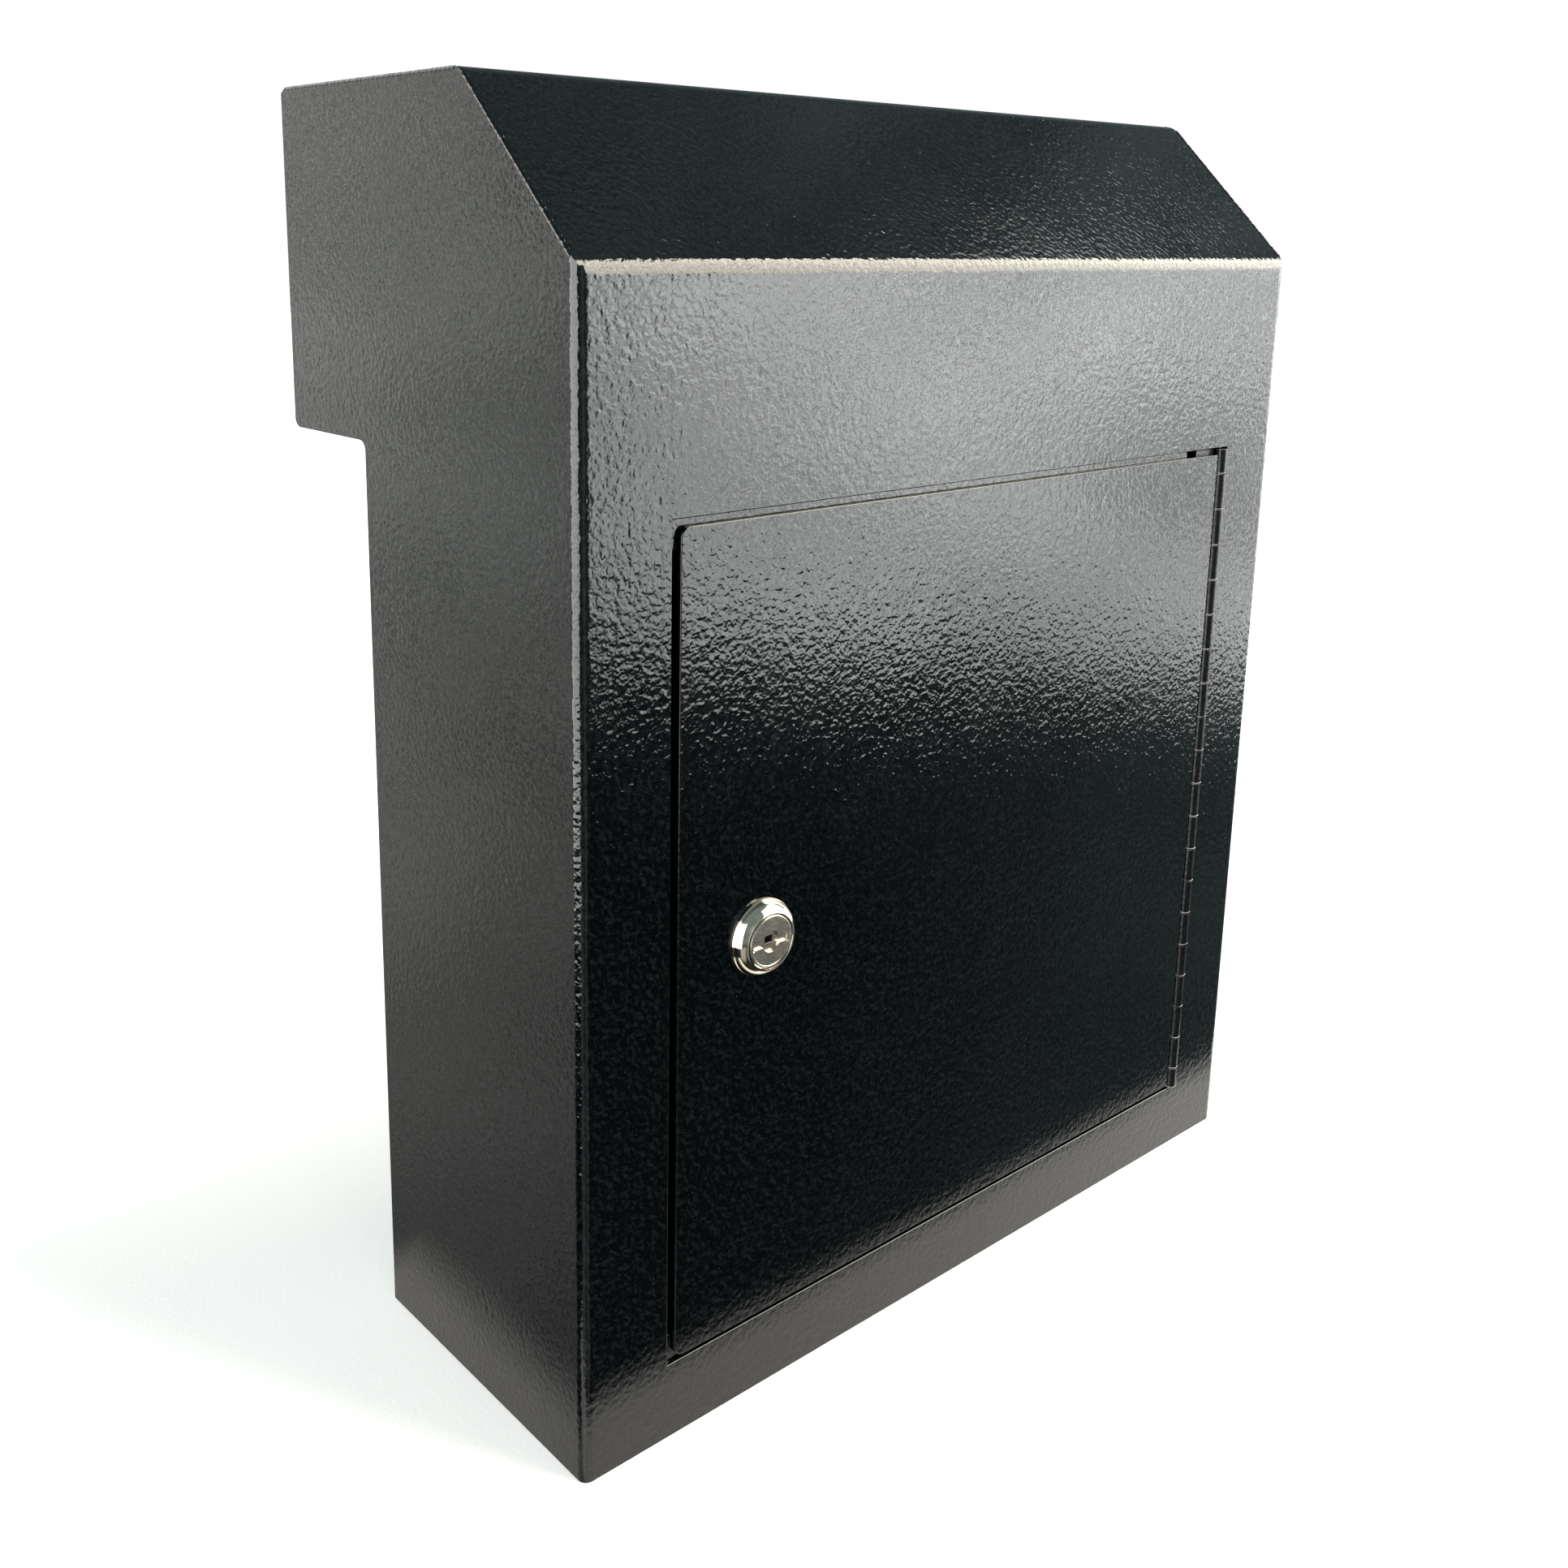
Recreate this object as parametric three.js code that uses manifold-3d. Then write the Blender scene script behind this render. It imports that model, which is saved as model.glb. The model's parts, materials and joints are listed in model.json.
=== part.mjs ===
// Locking drop box of folded sheet steel. It hangs on the inside of a door or wall: its upper
// part reaches back through a cut-out as a neck with a deposit slot, and a hinged, keyed door
// in front opens the storage space. Millimetres, +Z up, front face towards -Y.
//
// Every piece is drawn from the front face (Y = 0), the left side (X = 0) and the bottom
// (Z = 0). The group at the end is then moved so that its origin is the bottom centre.
import * as THREE from 'three';
import { mergeVertices } from 'three/addons/utils/BufferGeometryUtils.js';
import Module from 'manifold-3d';

const wasm = await Module();
wasm.setup();

// ---- Driving dimensions ----

// Cabinet, outside
const width = 306;
const height = 381;
const bodyDepth = 105.5;
const neckDepth = 44;
const neckFloor = 281;
const slopeBase = 333;
const slopeTopDepth = 50;
const sheet = 1.5;
const insideBend = 1.5;
const hoodBend = 6;
const groundWeld = 2;
const fit = 0.3;

// Door and its opening in the front face
const opening = { left: 29.4, right: 279, bottom: 23.8, top: 269.8 };
const door = { left: 32.2, right: 273.8, bottom: 24.9, top: 267.6, corner: 3.2 };

// Continuous hinge
const hingeAxis = { x: 276.4, y: 0.75 };
const hinge = { bottom: 24.2, top: 269.4, leafWidth: 13.5, leafSheet: 1.2 };
const knuckle = { radius: 2.25, pitch: 12.7, topJoint: 260.7, gap: 0.3 };
const pinRadius = 1.1;
const pinHoleRadius = 1.35;

// Cam lock
const lockCentre = { x: 62.6, z: 146.8 };
const bezel = { radius: 11.1, rim: 0.9, height: 4.2, lipRadius: 8.5 };
const barrel = { radius: 9.4, flat: 8, length: 11.1 };
const plug = { headRadius: 7.8, headDepth: 1.7, radius: 6.3, post: 7, postEnd: 14.4 };
const camLength = 41;

// Deposit slot and what guides a deposit
const slot = { width: 254, height: 38, centre: 341 };
const guideSheet = 1.2;

// Mounting holes in the lower back
const mountHole = { radius: 4, spacingX: 200, spacingZ: 160, centreZ: 150 };

const arcSteps = 10;
const roundSteps = 40;

const backFace = bodyDepth + neckDepth;
const doorBack = sheet;

// ---- Materials ----

const finish = (color, roughness, metalness) => {
  return new THREE.MeshStandardMaterial({ color, roughness, metalness });
};
const blackCoat = finish(0x17191a, 0.35, 0.1);
const zincPlate = finish(0x9a9c98, 0.4, 0.9);
const brightNickel = finish(0xd8d4ca, 0.12, 1);
const satinNickel = finish(0xb8b2a4, 0.35, 1);
const brass = finish(0xb79a5c, 0.35, 1);

// ---- Solids ----

// A closed geometry as a solid. Its faces are turned outwards if the signed volume is negative.
function solidOf(geometry) {
  const bare = geometry.clone();
  bare.deleteAttribute('normal');
  bare.deleteAttribute('uv');
  const merged = mergeVertices(bare, 1e-4);
  const at = merged.attributes.position.array;
  const triangles = [];
  let volume = 0;
  for (let i = 0; i < merged.index.count; i += 3) {
    const [a, b, c] = merged.index.array.subarray(i, i + 3);
    if (a === b || b === c || c === a) continue;
    triangles.push([a, b, c]);
    const [pa, pb, pc] = [a, b, c].map((v) => new THREE.Vector3().fromArray(at, 3 * v));
    volume += pa.dot(pb.cross(pc));
  }
  if (volume < 0) triangles.forEach((corners) => corners.reverse());
  return new wasm.Manifold(new wasm.Mesh({
    numProp: 3,
    vertProperties: Float32Array.from(at),
    triVerts: Uint32Array.from(triangles.flat()),
  }));
}

// A solid as a geometry with one flat normal for each face.
function geometryOf(solid) {
  const mesh = solid.getMesh();
  const geometry = new THREE.BufferGeometry();
  geometry.setAttribute('position', new THREE.BufferAttribute(mesh.vertProperties, 3));
  geometry.setIndex(new THREE.BufferAttribute(mesh.triVerts, 1));
  const faceted = geometry.toNonIndexed();
  faceted.computeVertexNormals();
  return faceted;
}

function box(x0, x1, y0, y1, z0, z1) {
  const geometry = new THREE.BoxGeometry(x1 - x0, y1 - y0, z1 - z0);
  geometry.translate((x0 + x1) / 2, (y0 + y1) / 2, (z0 + z1) / 2);
  return solidOf(geometry);
}

function extruded(shape, length) {
  return new THREE.ExtrudeGeometry(shape, {
    depth: length, bevelEnabled: false, steps: 1, curveSegments: arcSteps,
  });
}

// A shape drawn in (Y, Z), extruded from x0 to x1.
function alongX(shape, x0, x1) {
  const geometry = extruded(shape, x1 - x0);
  geometry.applyMatrix4(new THREE.Matrix4().set(0, 0, 1, x0, 1, 0, 0, 0, 0, 1, 0, 0, 0, 0, 0, 1));
  return solidOf(geometry);
}

// A shape drawn in (X, Z), extruded from y0 to y1.
function alongY(shape, y0, y1) {
  const geometry = extruded(shape, y1 - y0);
  geometry.applyMatrix4(new THREE.Matrix4().set(1, 0, 0, 0, 0, 0, -1, y1, 0, 1, 0, 0, 0, 0, 0, 1));
  return solidOf(geometry);
}

// A shape drawn in (X, Y), extruded from z0 to z1.
function alongZ(shape, z0, z1) {
  const geometry = extruded(shape, z1 - z0);
  geometry.translate(0, 0, z0);
  return solidOf(geometry);
}

// A profile of [radius, y] points turned about the Y axis.
function turned(profile) {
  const points = profile.map(([radius, y]) => new THREE.Vector2(radius, y));
  return solidOf(new THREE.LatheGeometry(points, roundSteps));
}

// The points of an arc that rounds one corner between its two neighbours.
function roundedCorner(before, corner, after, radius) {
  const back = before.clone().sub(corner).normalize();
  const ahead = after.clone().sub(corner).normalize();
  const half = Math.acos(back.dot(ahead)) / 2;
  const reach = radius / Math.sin(half);
  const centre = back.clone().add(ahead).normalize().multiplyScalar(reach).add(corner);
  const start = back.clone().multiplyScalar(radius / Math.tan(half)).add(corner).sub(centre);
  const turn = Math.sign(ahead.cross(back)) * (Math.PI - 2 * half);
  const points = [];
  for (let i = 0; i <= arcSteps; i++) {
    const angle = turn * i / arcSteps;
    points.push(start.clone().rotateAround(new THREE.Vector2(), angle).add(centre));
  }
  return points;
}

// A closed outline from corners [u, v, radius]; a corner with no radius stays sharp.
function outline(corners) {
  const points = corners.map(([u, v]) => new THREE.Vector2(u, v));
  const last = points.length - 1;
  const rounded = corners.flatMap(([, , radius], i) => {
    if (!radius) return [points[i]];
    const before = points[i === 0 ? last : i - 1];
    const after = points[i === last ? 0 : i + 1];
    return roundedCorner(before, points[i], after, radius);
  });
  return new THREE.Shape(rounded);
}

function rectangle(u0, u1, v0, v1, radius = 0) {
  return outline([[u0, v0, radius], [u1, v0, radius], [u1, v1, radius], [u0, v1, radius]]);
}

function circle(u, v, radius) {
  return new THREE.Shape().absarc(u, v, radius, 0, 2 * Math.PI);
}

// The outline of a strip bent along a path. Its thickness lies to the left of the path, and
// every bend has the same radius on its inside.
function bentStrip(path, thickness, inside) {
  const points = path.map(([u, v]) => new THREE.Vector2(u, v));
  const directions = points.slice(1).map((p, i) => p.clone().sub(points[i]).normalize());
  const normals = directions.map((d) => new THREE.Vector2(-d.y, d.x));
  const near = [];
  const far = [];
  points.forEach((point, i) => {
    const before = normals[Math.max(i - 1, 0)];
    const after = normals[Math.min(i, normals.length - 1)];
    const reach = thickness / (1 + before.dot(after));
    const offset = before.clone().add(after).multiplyScalar(reach).add(point);
    const isEnd = i === 0 || i === points.length - 1;
    const left = !isEnd && directions[i - 1].cross(directions[i]) > 0;
    const outside = inside + thickness;
    near.push([point.x, point.y, isEnd ? 0 : left ? outside : inside]);
    far.push([offset.x, offset.y, isEnd ? 0 : left ? inside : outside]);
  });
  return outline([...near, ...far.reverse()]);
}

// ---- Cabinet ----

// The side outline of the front, slope and top at a depth below the outer skin.
function hoodCorners(inset, bend) {
  const slope = Math.atan2(height - slopeBase, slopeTopDepth);
  const lower = slopeBase - inset * (1 - Math.sin(slope)) / Math.cos(slope);
  const upper = slopeTopDepth + inset * (1 - Math.cos(slope)) / Math.sin(slope);
  return [[upper, height - inset, bend], [inset, lower, bend]];
}

// The plan outline at a depth below the outer skin, open to the back.
function planOutline(inset, bend, back) {
  const right = width - inset;
  return outline([[inset, inset, bend], [right, inset, bend], [right, back], [inset, back]]);
}

// Front, both sides, slope and top: one folded sheet, its slope welded to the sides.
function bodyShell() {
  const past = 10;
  const outsideBend = insideBend + sheet;
  const sides = outline([
    [0, 0], [bodyDepth, 0], [bodyDepth, neckFloor, outsideBend],
    [backFace, neckFloor, outsideBend], [backFace, height, groundWeld],
    ...hoodCorners(0, hoodBend),
  ]);
  const hollow = outline([
    [sheet, -past], [backFace + past, -past], [backFace + past, height - sheet],
    ...hoodCorners(sheet, hoodBend - sheet),
  ]);
  const outer = alongX(sides, 0, width)
    .intersect(alongZ(planOutline(0, outsideBend, backFace), 0, height));
  const inner = alongX(hollow, sheet, width - sheet)
    .intersect(alongZ(planOutline(sheet, insideBend, backFace + past), -past, height));
  const doorway = box(opening.left, opening.right, -past, past, opening.bottom, opening.top);
  return outer.subtract(inner).subtract(doorway);
}

// Lower back, neck floor and neck back: one folded sheet between the two sides.
function backSheet() {
  const edge = sheet + fit;
  const path = [
    [bodyDepth, 0], [bodyDepth, neckFloor], [backFace, neckFloor],
    [backFace, height - sheet - fit],
  ];
  const wrap = alongX(bentStrip(path, sheet, insideBend), edge, width - edge);
  const middle = width / 2;
  const slotShape = rectangle(
    middle - slot.width / 2, middle + slot.width / 2,
    slot.centre - slot.height / 2, slot.centre + slot.height / 2, 3,
  );
  let cut = wrap.subtract(alongY(slotShape, backFace - 5, backFace + 5));
  for (const x of [middle - mountHole.spacingX / 2, middle + mountHole.spacingX / 2]) {
    for (const side of [-1, 1]) {
      const z = mountHole.centreZ + side * mountHole.spacingZ / 2;
      const hole = circle(x, z, mountHole.radius);
      cut = cut.subtract(alongY(hole, bodyDepth - 5, bodyDepth + 5));
    }
  }
  return cut;
}

// A tray with its flanges turned up inside the front, sides and back.
function bottomPanel() {
  const edge = sheet + fit;
  const flange = 12;
  const back = bodyDepth - edge;
  const tray = alongZ(outline([
    [edge, edge, insideBend], [width - edge, edge, insideBend],
    [width - edge, back], [edge, back],
  ]), 0, flange);
  const inset = edge + sheet;
  return tray.subtract(box(inset, width - inset, inset, back - sheet, sheet, flange + 1));
}

const stopStrip = { left: 20, right: 257.4, overlap: 8.4, tail: 11.5 };

// A strip behind the front sheet; its part inside the opening's edge stops the door.
function doorStop(edge, inward) {
  const front = sheet + fit;
  const ends = [edge + inward * stopStrip.overlap, edge - inward * stopStrip.tail];
  const [z0, z1] = ends.sort((a, b) => a - b);
  return box(stopStrip.left, stopStrip.right, front, front + guideSheet, z0, z1);
}

// Carries a deposit from the slot down over the edge of the neck floor.
function chuteRamp() {
  const back = backFace - sheet - fit;
  const lip = bodyDepth - sheet - fit - guideSheet;
  const path = [[back, 300], [back, 318], [lip, 288], [lip, 268]];
  return alongX(bentStrip(path, guideSheet, insideBend), 4, width - 4);
}

// Hangs behind the front, above the door, and keeps a hand or a hook out of the storage space.
function fishingBaffle() {
  const front = sheet + fit;
  const path = [[front, 318], [front, 304], [52, 281], [52, 273]];
  return alongX(bentStrip(path, guideSheet, insideBend), 4, width - 4);
}

// ---- Hinge ----

// The ends [z0, z1] of every knuckle, from the top down. They belong to the cabinet's leaf and
// the door's leaf in turn.
function knuckleSpans() {
  const spans = [];
  let top = hinge.top;
  let joint = knuckle.topJoint;
  while (joint > hinge.bottom) {
    spans.push([joint + knuckle.gap / 2, top]);
    top = joint - knuckle.gap / 2;
    joint -= knuckle.pitch;
  }
  spans.push([hinge.bottom, top]);
  return spans;
}

// side is 1 for the leaf behind the cabinet's front and -1 for the leaf behind the door.
function hingeLeaf(side, firstKnuckle) {
  const back = hingeAxis.y + knuckle.radius;
  const front = back - hinge.leafSheet;
  const across = (near, far, z0, z1) => {
    const ends = [hingeAxis.x + side * near, hingeAxis.x + side * far].sort((a, b) => a - b);
    return box(...ends, front, back, z0, z1);
  };
  const clear = knuckle.radius + knuckle.gap;
  let leaf = across(clear, hinge.leafWidth, hinge.bottom, hinge.top);
  knuckleSpans().forEach(([z0, z1], i) => {
    if (i % 2 !== firstKnuckle) return;
    const curl = alongZ(circle(hingeAxis.x, hingeAxis.y, knuckle.radius), z0, z1);
    leaf = leaf.add(curl).add(across(0, clear + 1, z0, z1));
  });
  const hole = circle(hingeAxis.x, hingeAxis.y, pinHoleRadius);
  return leaf.subtract(alongZ(hole, hinge.bottom - 1, hinge.top + 1));
}

function hingePin() {
  const inset = 0.2;
  const shape = circle(hingeAxis.x, hingeAxis.y, pinRadius);
  return alongZ(shape, hinge.bottom + inset, hinge.top - inset);
}

// ---- Door ----

// A circle with two flats above and below, as an outline about the lock's centre.
function doubleFlat(radius, flat) {
  const reach = Math.acos(flat / radius);
  const shape = new THREE.Shape();
  shape.absarc(lockCentre.x, lockCentre.z, radius, reach - Math.PI / 2, Math.PI / 2 - reach);
  shape.absarc(lockCentre.x, lockCentre.z, radius, Math.PI / 2 + reach, 1.5 * Math.PI - reach);
  shape.closePath();
  return shape;
}

function doorPanel() {
  const { left, right, bottom, top, corner } = door;
  const plate = alongY(outline([
    [left, bottom, corner], [right, bottom], [right, top], [left, top, corner],
  ]), 0, doorBack);
  return plate.subtract(alongY(doubleFlat(barrel.radius + 0.3, barrel.flat + 0.3), -1, 3));
}

// ---- Lock, drawn about its own axis: the shapes below are moved to the lock's centre ----

const atLock = (solid) => solid.translate([lockCentre.x, 0, lockCentre.z]);

// A ring sector in (X, Z) about the lock's axis, angles counted up from +X towards +Z.
function sector(inner, outer, from, to) {
  const shape = new THREE.Shape();
  shape.absarc(0, 0, outer, THREE.MathUtils.degToRad(from), THREE.MathUtils.degToRad(to));
  shape.absarc(0, 0, inner, THREE.MathUtils.degToRad(to), THREE.MathUtils.degToRad(from), true);
  shape.closePath();
  return shape;
}

// The domed ring in front of the door, from its rim to the lip round the plug.
function bezelProfile() {
  const points = [];
  for (let i = 0; i <= arcSteps; i++) {
    const t = i / arcSteps;
    const radius = bezel.radius - (bezel.radius - bezel.lipRadius) * t;
    const swell = 0.35 * Math.sin(Math.PI * t);
    const y = -bezel.rim - (bezel.height - bezel.rim) * t;
    points.push([radius + swell, y - swell * 0.4]);
  }
  return points;
}

function lockHousing() {
  const seat = -0.15;
  const bore = plug.radius + fit;
  const counterbore = plug.headRadius + fit;
  const shoulder = -bezel.height + plug.headDepth + fit;
  const body = turned([
    [bore, shoulder], [bore, barrel.length], [barrel.radius, barrel.length],
    [barrel.radius, seat], [bezel.radius, seat], ...bezelProfile(),
    [counterbore, -bezel.height], [counterbore, shoulder], [bore, shoulder],
  ]);
  const far = 2 * barrel.radius;
  const above = box(-far, far, 0, far, barrel.flat, far);
  const below = box(-far, far, 0, far, -far, -barrel.flat);
  const stopEnd = barrel.length + 1.4;
  const stops = [[-40, 40], [155, 235]].map(([from, to]) => {
    return alongY(sector(7.6, 9.2, from, to), barrel.length - 0.5, stopEnd);
  });
  return atLock(body.subtract(above).subtract(below).add(stops[0]).add(stops[1]));
}

function lockNut() {
  const acrossFlats = 23.5;
  const corners = Array.from({ length: 6 }, (_, i) => {
    const angle = i * Math.PI / 3;
    const reach = acrossFlats / 2 / Math.cos(Math.PI / 6);
    return [reach * Math.cos(angle), reach * Math.sin(angle)];
  });
  const start = doorBack + 0.2;
  const blank = alongY(outline(corners), start, start + 4);
  return atLock(blank.subtract(alongY(circle(0, 0, barrel.radius + fit), 0, 10)));
}

const wafer = { first: 1, pitch: 1.6, thickness: 0.6, halfWidth: 3.6, halfHeight: 4.6 };

const waferPlaces = Array.from({ length: 5 }, (_, i) => wafer.first + i * wafer.pitch);

// The plug: head, keyway, wafer slots, and the square post that turns the cam.
function lockPlug() {
  const face = -bezel.height;
  const headBack = face + plug.headDepth;
  let body = turned([
    [0, face], [plug.headRadius, face], [plug.headRadius, headBack],
    [plug.radius, headBack], [plug.radius, barrel.length], [0, barrel.length],
  ]);
  const half = plug.post / 2;
  body = body.add(box(-half, half, barrel.length - 1, plug.postEnd, -half, half));
  body = body.subtract(box(-6.2, 6.2, face - 1, face + 0.8, -1.15, 1.15));
  body = body.subtract(alongY(circle(0, 0, 3.2), face - 1, face + 0.9));
  body = body.subtract(box(-3, 3, face, 8, -1, 1));
  for (const y of waferPlaces) {
    const gap = wafer.thickness / 2 + 0.2;
    const reach = wafer.halfWidth + 0.2;
    body = body.subtract(box(-reach, reach, y - gap, y + gap, -wafer.halfHeight - 0.2, 10));
  }
  const screwHole = alongY(circle(0, 0, 2.7), 9, plug.postEnd + 1);
  return atLock(body.subtract(screwHole));
}

// One tumbler plate, with a window for the key.
function waferPlate(y) {
  const half = wafer.thickness / 2;
  const { halfWidth, halfHeight } = wafer;
  const plate = alongY(rectangle(-halfWidth, halfWidth, -halfHeight, halfHeight, 0.8), y - half, y + half);
  return atLock(plate.subtract(box(-2.5, 2.5, y - 1, y + 1, -1.2, 1.6)));
}

const squareHole = () => {
  const half = plug.post / 2 + 0.2;
  return box(-half, half, 0, 30, -half, half);
};

// Its tab meets the housing's two raised stops at either end of the quarter turn.
function stopWasher() {
  const front = barrel.length + 0.25;
  const disc = alongY(circle(0, 0, 7.2), front, front + 1);
  const tab = alongY(sector(6, 9.2, 42.5, 62.5), front, front + 1);
  return atLock(disc.add(tab).subtract(squareHole()));
}

// The cam steps forward so that its tip passes just behind the front sheet.
function lockCam() {
  const back = barrel.length + 3.4;
  const thickness = 2;
  const tipBack = 6;
  const path = [[back, -8], [back, 15], [tipBack, 24], [tipBack, camLength]];
  const side = alongX(bentStrip(path, thickness, 1), -10, 10);
  const face = outline([
    [-8, -8, 5], [8, -8, 5], [8, 8, 3], [6.5, 16], [6.5, camLength, 2], [-6.5, camLength, 2],
    [-6.5, 16], [-8, 8, 3],
  ]);
  return atLock(side.intersect(alongY(face, 0, 30)).subtract(squareHole()));
}

const washerFront = barrel.length + 3.6;

function springWasher() {
  return atLock(alongY(sector(2.8, 4.4, 100, 440), washerFront, washerFront + 1));
}

function camScrew() {
  const seat = washerFront + 1.2;
  const head = turned([[0, seat], [4.6, seat], [4.6, seat + 1.6], [3.4, seat + 2.6], [0, seat + 2.6]]);
  const shank = turned([[0, 9.6], [2, 9.6], [2.4, 10], [2.4, seat + 0.5], [0, seat + 0.5]]);
  const crossA = box(-2.6, 2.6, seat + 1.2, seat + 4, -0.5, 0.5);
  const crossB = box(-0.5, 0.5, seat + 1.2, seat + 4, -2.6, 2.6);
  return atLock(head.add(shank).subtract(crossA).subtract(crossB));
}

// ---- Assembly ----

const dropBox = new THREE.Group();

function add(name, solid, material) {
  const mesh = new THREE.Mesh(geometryOf(solid), material);
  mesh.name = name;
  dropBox.add(mesh);
}

add('body_shell', bodyShell(), blackCoat);
add('back_sheet', backSheet(), blackCoat);
add('bottom_panel', bottomPanel(), blackCoat);
add('top_door_stop', doorStop(opening.top, -1), blackCoat);
add('bottom_door_stop', doorStop(opening.bottom, 1), blackCoat);
add('chute_ramp', chuteRamp(), blackCoat);
add('fishing_baffle', fishingBaffle(), blackCoat);

add('hinge_leaf_cabinet', hingeLeaf(1, 0), blackCoat);
add('hinge_leaf_door', hingeLeaf(-1, 1), blackCoat);
add('hinge_pin', hingePin(), zincPlate);

add('door_panel', doorPanel(), blackCoat);
add('lock_housing', lockHousing(), brightNickel);
add('lock_nut', lockNut(), zincPlate);

add('lock_plug', lockPlug(), satinNickel);
waferPlaces.forEach((y, i) => add(`lock_wafer_${i + 1}`, waferPlate(y), brass));
add('lock_stop_washer', stopWasher(), zincPlate);
add('lock_cam', lockCam(), zincPlate);
add('cam_spring_washer', springWasher(), zincPlate);
add('cam_screw', camScrew(), zincPlate);

dropBox.position.set(-width / 2, -(backFace - bezel.height) / 2, 0);

export default dropBox;
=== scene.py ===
"""Looks of the locking drop box: a powder-coated sheet-steel cabinet with a hinged, keyed door.

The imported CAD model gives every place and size. Each part's surface is rebuilt here with softened
edges, rolled hinge knuckles, weld beads and a threaded lock, and gets a procedural material.
Lengths are in metres. The front face looks towards -Y and +Z is up.
"""

import json
import math

import bmesh
import bpy
from mathutils import Matrix, Vector, noise


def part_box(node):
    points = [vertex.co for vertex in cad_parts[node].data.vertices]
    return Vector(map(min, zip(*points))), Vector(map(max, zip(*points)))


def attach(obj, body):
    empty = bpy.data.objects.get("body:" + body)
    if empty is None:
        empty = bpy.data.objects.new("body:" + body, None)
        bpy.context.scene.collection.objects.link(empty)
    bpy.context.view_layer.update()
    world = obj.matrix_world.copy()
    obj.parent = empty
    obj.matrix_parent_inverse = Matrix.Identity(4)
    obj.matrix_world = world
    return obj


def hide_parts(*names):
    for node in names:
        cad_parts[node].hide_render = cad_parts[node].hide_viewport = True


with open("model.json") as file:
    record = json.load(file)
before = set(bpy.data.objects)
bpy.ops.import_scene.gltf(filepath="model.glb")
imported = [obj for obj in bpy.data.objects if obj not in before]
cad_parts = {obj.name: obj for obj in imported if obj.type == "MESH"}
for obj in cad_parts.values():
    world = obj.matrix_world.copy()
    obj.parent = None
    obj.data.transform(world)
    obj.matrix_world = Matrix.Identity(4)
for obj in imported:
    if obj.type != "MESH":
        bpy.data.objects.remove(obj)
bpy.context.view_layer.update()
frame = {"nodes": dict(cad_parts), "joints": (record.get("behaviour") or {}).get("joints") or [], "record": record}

MM = 0.001
JOINTS = {joint["name"]: joint for joint in frame["joints"]}
BODY_OF = {
    node: body
    for body, nodes in frame["record"]["behaviour"]["bodies"].items()
    for node in nodes
}

# Places that the frame gives
SHELL_LOW, SHELL_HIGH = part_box("body_shell")
FRONT = SHELL_LOW.y
HINGE_AXIS = Vector(JOINTS["door_hinge"]["pos_m"])
HINGE_LOW, HINGE_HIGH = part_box("hinge_leaf_cabinet")
LOCK = Vector(JOINTS["lock_turn"]["pos_m"])

# Sheet and hinge sizes, as in the CAD source
SHEET = 1.5 * MM
NECK_FLOOR = 281 * MM
SLOPE_BASE = 333 * MM
SLOPE_TOP_DEPTH = 50 * MM
SLOPE_RISE = (SHELL_HIGH.z - SLOPE_BASE) / SLOPE_TOP_DEPTH
LOWER_BACK = FRONT + 105.5 * MM
KNUCKLE_RADIUS = 2.25 * MM
KNUCKLE_PITCH = 12.7 * MM
KNUCKLE_GAP = 0.3 * MM
TOP_KNUCKLE = 8.7 * MM
PIN_HOLE = 1.35 * MM
PIN_RADIUS = 1.1 * MM
LEAF_WIDTH = 13.5 * MM
LEAF_SHEET = 1.2 * MM

# The coat's texture, in cells for each metre
PEEL_CELLS = 600
CREASE_CELLS = 400
WAVE_CELLS = 13
PATCH_CELLS = 45
SPECK_CELLS = 2400


# ---- Camera ----

def photograph_camera():
    """Stands left of the front and a little above it, at the photograph's viewing angle."""
    data = bpy.data.cameras.new("camera")
    data.sensor_width = 36
    data.lens = 37.06
    data.shift_x = 0.044
    data.shift_y = -0.12
    data.clip_start = 0.01
    data.clip_end = 50
    camera = bpy.data.objects.new("camera", data)
    bpy.context.scene.collection.objects.link(camera)
    azimuth = math.radians(40.41)
    elevation = math.radians(-12.70)
    roll = math.radians(0.73)
    turn = Matrix.Rotation(-azimuth, 4, "Z")
    tilt = Matrix.Rotation(math.pi / 2 + elevation, 4, "X")
    camera.matrix_world = (
        Matrix.Translation((-0.3765, -0.3865, 0.3411))
        @ turn @ tilt @ Matrix.Rotation(roll, 4, "Z")
    )
    bpy.context.scene.camera = camera


# ---- Shader building ----

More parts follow.
